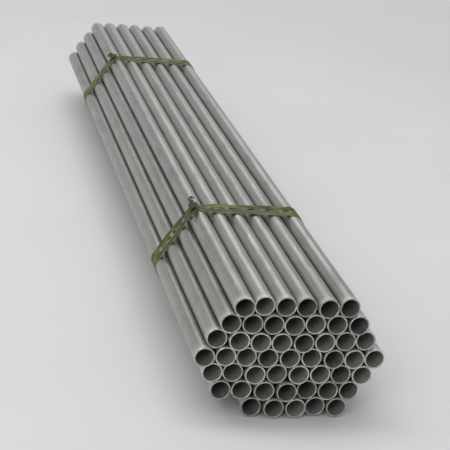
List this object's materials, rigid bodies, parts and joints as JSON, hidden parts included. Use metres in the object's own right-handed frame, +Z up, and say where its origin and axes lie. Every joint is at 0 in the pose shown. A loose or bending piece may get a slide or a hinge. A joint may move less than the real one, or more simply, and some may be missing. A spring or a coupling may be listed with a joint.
{
  "type": "bundle of aluminum tubes",
  "caption": "Tied bundle of round aluminum tubes, nested in a rough hexagon, open at both ends and held by two ties of flat film twine.",
  "frame": {"origin": "on the floor, under the middle of the bundle's box", "axes": "+Z up; the tubes lie along Y with their front ends at -Y; +X is to the right as seen from the front"},
  "size_m": [0.2072, 1.2076, 0.1428],
  "materials": {
    "tube": "mill finish, as extruded",
    "twine": "translucent film twine"
  },
  "bodies": {
    "root": {"row1_tube1": "tube", "row1_tube2": "tube", "row1_tube3": "tube", "row1_tube4": "tube", "row1_tube5": "tube", "row2_tube1": "tube", "row2_tube2": "tube", "row2_tube3": "tube", "row2_tube4": "tube", "row2_tube5": "tube", "row2_tube6": "tube", "row2_tube7": "tube", "row3_tube1": "tube", "row3_tube2": "tube", "row3_tube3": "tube", "row3_tube4": "tube", "row3_tube5": "tube", "row3_tube6": "tube", "row3_tube7": "tube", "row3_tube8": "tube", "row4_tube1": "tube", "row4_tube2": "tube", "row4_tube3": "tube", "row4_tube4": "tube", "row4_tube5": "tube", "row4_tube6": "tube", "row4_tube7": "tube", "row4_tube8": "tube", "row4_tube9": "tube", "row5_tube1": "tube", "row5_tube2": "tube", "row5_tube3": "tube", "row5_tube4": "tube", "row5_tube5": "tube", "row5_tube6": "tube", "row5_tube7": "tube", "row5_tube8": "tube", "row6_tube1": "tube", "row6_tube2": "tube", "row6_tube3": "tube", "row6_tube4": "tube", "row6_tube5": "tube", "row6_tube6": "tube", "row6_tube7": "tube", "row7_tube1": "tube", "row7_tube2": "tube", "row7_tube3": "tube", "row7_tube4": "tube", "row7_tube5": "tube", "row7_tube6": "tube", "front_tie": "twine", "rear_tie": "twine"}
  },
  "joints": []
}
